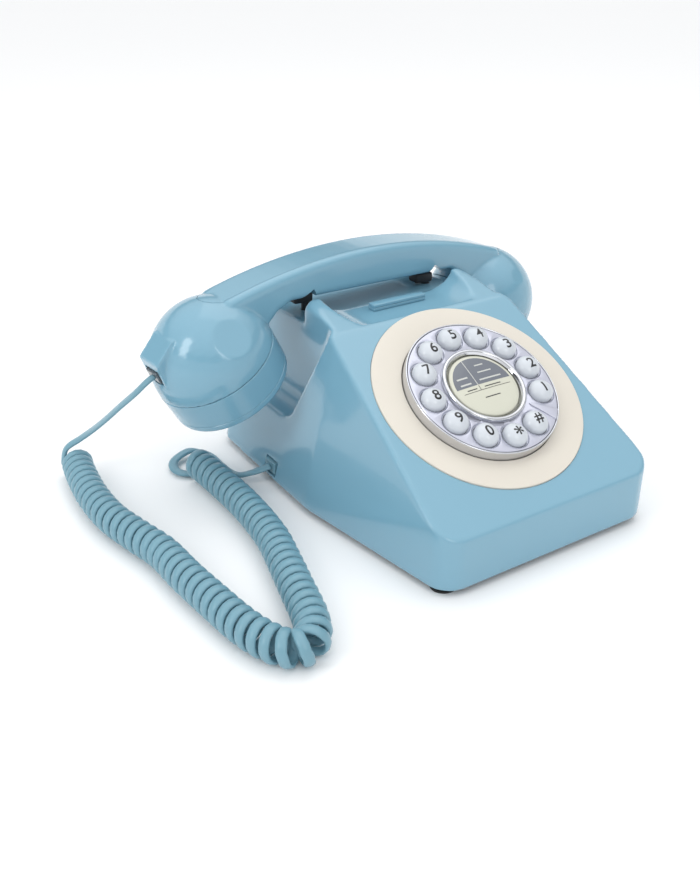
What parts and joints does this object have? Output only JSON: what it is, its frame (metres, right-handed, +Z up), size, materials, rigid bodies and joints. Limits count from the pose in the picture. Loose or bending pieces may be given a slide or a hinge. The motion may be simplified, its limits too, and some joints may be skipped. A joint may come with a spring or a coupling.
{
  "type": "desk telephone",
  "caption": "Wedge-shaped desk telephone with a round push-key dial, twin-horn cradle, arched handset and curly cord.",
  "frame": {"origin": "on the table under the middle of the telephone's box, measured without its cord", "axes": "+Z up, +X to the right along the handset, -Y towards the user (the dial's side)"},
  "size_m": [0.284, 0.2067, 0.1128],
  "materials": {
    "body_plastic": "gloss",
    "cream_plastic": "satin",
    "black_plastic": "matte",
    "foot_rubber": "matte",
    "steel": "brushed",
    "circuit_board": "satin",
    "chrome_trim": "polished",
    "faceplate": "satin metallic",
    "mat_rubber": "matte",
    "button_plastic": "gloss",
    "key_plastic": "gloss",
    "plug_plastic": "clear gloss",
    "cord_plastic": "satin"
  },
  "bodies": {
    "base": {"case_shell": "body_plastic", "base_plate": "black_plastic", "rubber_feet": "foot_rubber", "base_screws": "steel", "line_jack": "black_plastic", "cord_jack": "black_plastic", "main_board": "circuit_board", "board_screws": "steel", "ringer": "black_plastic", "ballast_weight": "steel", "hook_bracket": "steel", "hook_switch": "black_plastic", "cradle_bar": "body_plastic", "dial_surround": "cream_plastic", "dial_housing": "black_plastic", "dial_rim": "chrome_trim", "dial_faceplate": "faceplate", "centre_ring": "chrome_trim", "key_mat": "mat_rubber", "key_board": "circuit_board", "dial_screws": "steel", "cord_coil": "cord_plastic", "cord_lead_base": "cord_plastic", "cord_plug_base": "plug_plastic"},
    "hook": {"hook_crossbar": "steel", "cradle_plungers": "black_plastic", "hook_springs": "steel"},
    "handset": {"handset_shell": "body_plastic", "handset_cover": "body_plastic", "mouthpiece_cap": "body_plastic", "earpiece_cap": "body_plastic", "microphone": "black_plastic", "receiver": "black_plastic", "handset_weight": "steel", "handset_jack": "black_plastic", "cord_plug_handset": "plug_plastic", "cord_lead_handset": "cord_plastic"},
    "key_1": {"key_1": "key_plastic"},
    "key_2": {"key_2": "key_plastic"},
    "key_3": {"key_3": "key_plastic"},
    "key_4": {"key_4": "key_plastic"},
    "key_5": {"key_5": "key_plastic"},
    "key_6": {"key_6": "key_plastic"},
    "key_7": {"key_7": "key_plastic"},
    "key_8": {"key_8": "key_plastic"},
    "key_9": {"key_9": "key_plastic"},
    "key_0": {"key_0": "key_plastic"},
    "key_star": {"key_star": "key_plastic"},
    "key_hash": {"key_hash": "key_plastic"},
    "redial_button": {"redial_button": "button_plastic"}
  },
  "joints": [
    {"name": "handset_lift", "type": "slide", "parent": "base", "child": "handset", "axis": [0, 0, 1], "range_m": [0, 0.08]},
    {"name": "hook_rise", "type": "slide", "parent": "base", "child": "hook", "axis": [0, 0, 1], "range_m": [0, 0.004], "stiffness_N_per_m": 60, "springref_m": 0.006},
    {"name": "key_1_press", "type": "slide", "parent": "base", "child": "key_1", "axis": [0, 0.5, -0.866], "range_m": [0, 0.0015], "stiffness_N_per_m": 300, "springref_m": -0.0005},
    {"name": "key_2_press", "type": "slide", "parent": "base", "child": "key_2", "axis": [0, 0.5, -0.866], "range_m": [0, 0.0015], "stiffness_N_per_m": 300, "springref_m": -0.0005},
    {"name": "key_3_press", "type": "slide", "parent": "base", "child": "key_3", "axis": [0, 0.5, -0.866], "range_m": [0, 0.0015], "stiffness_N_per_m": 300, "springref_m": -0.0005},
    {"name": "key_4_press", "type": "slide", "parent": "base", "child": "key_4", "axis": [0, 0.5, -0.866], "range_m": [0, 0.0015], "stiffness_N_per_m": 300, "springref_m": -0.0005},
    {"name": "key_5_press", "type": "slide", "parent": "base", "child": "key_5", "axis": [0, 0.5, -0.866], "range_m": [0, 0.0015], "stiffness_N_per_m": 300, "springref_m": -0.0005},
    {"name": "key_6_press", "type": "slide", "parent": "base", "child": "key_6", "axis": [0, 0.5, -0.866], "range_m": [0, 0.0015], "stiffness_N_per_m": 300, "springref_m": -0.0005},
    {"name": "key_7_press", "type": "slide", "parent": "base", "child": "key_7", "axis": [0, 0.5, -0.866], "range_m": [0, 0.0015], "stiffness_N_per_m": 300, "springref_m": -0.0005},
    {"name": "key_8_press", "type": "slide", "parent": "base", "child": "key_8", "axis": [0, 0.5, -0.866], "range_m": [0, 0.0015], "stiffness_N_per_m": 300, "springref_m": -0.0005},
    {"name": "key_9_press", "type": "slide", "parent": "base", "child": "key_9", "axis": [0, 0.5, -0.866], "range_m": [0, 0.0015], "stiffness_N_per_m": 300, "springref_m": -0.0005},
    {"name": "key_0_press", "type": "slide", "parent": "base", "child": "key_0", "axis": [0, 0.5, -0.866], "range_m": [0, 0.0015], "stiffness_N_per_m": 300, "springref_m": -0.0005},
    {"name": "key_star_press", "type": "slide", "parent": "base", "child": "key_star", "axis": [0, 0.5, -0.866], "range_m": [0, 0.0015], "stiffness_N_per_m": 300, "springref_m": -0.0005},
    {"name": "key_hash_press", "type": "slide", "parent": "base", "child": "key_hash", "axis": [0, 0.5, -0.866], "range_m": [0, 0.0015], "stiffness_N_per_m": 300, "springref_m": -0.0005},
    {"name": "redial_press", "type": "slide", "parent": "base", "child": "redial_button", "axis": [0, 0.5, -0.866], "range_m": [0, 0.0015], "stiffness_N_per_m": 400, "springref_m": -0.0008}
  ],
  "couplings": [
    {"joint": "hook_rise", "follows": "handset_lift", "ratio": 0.05}
  ]
}
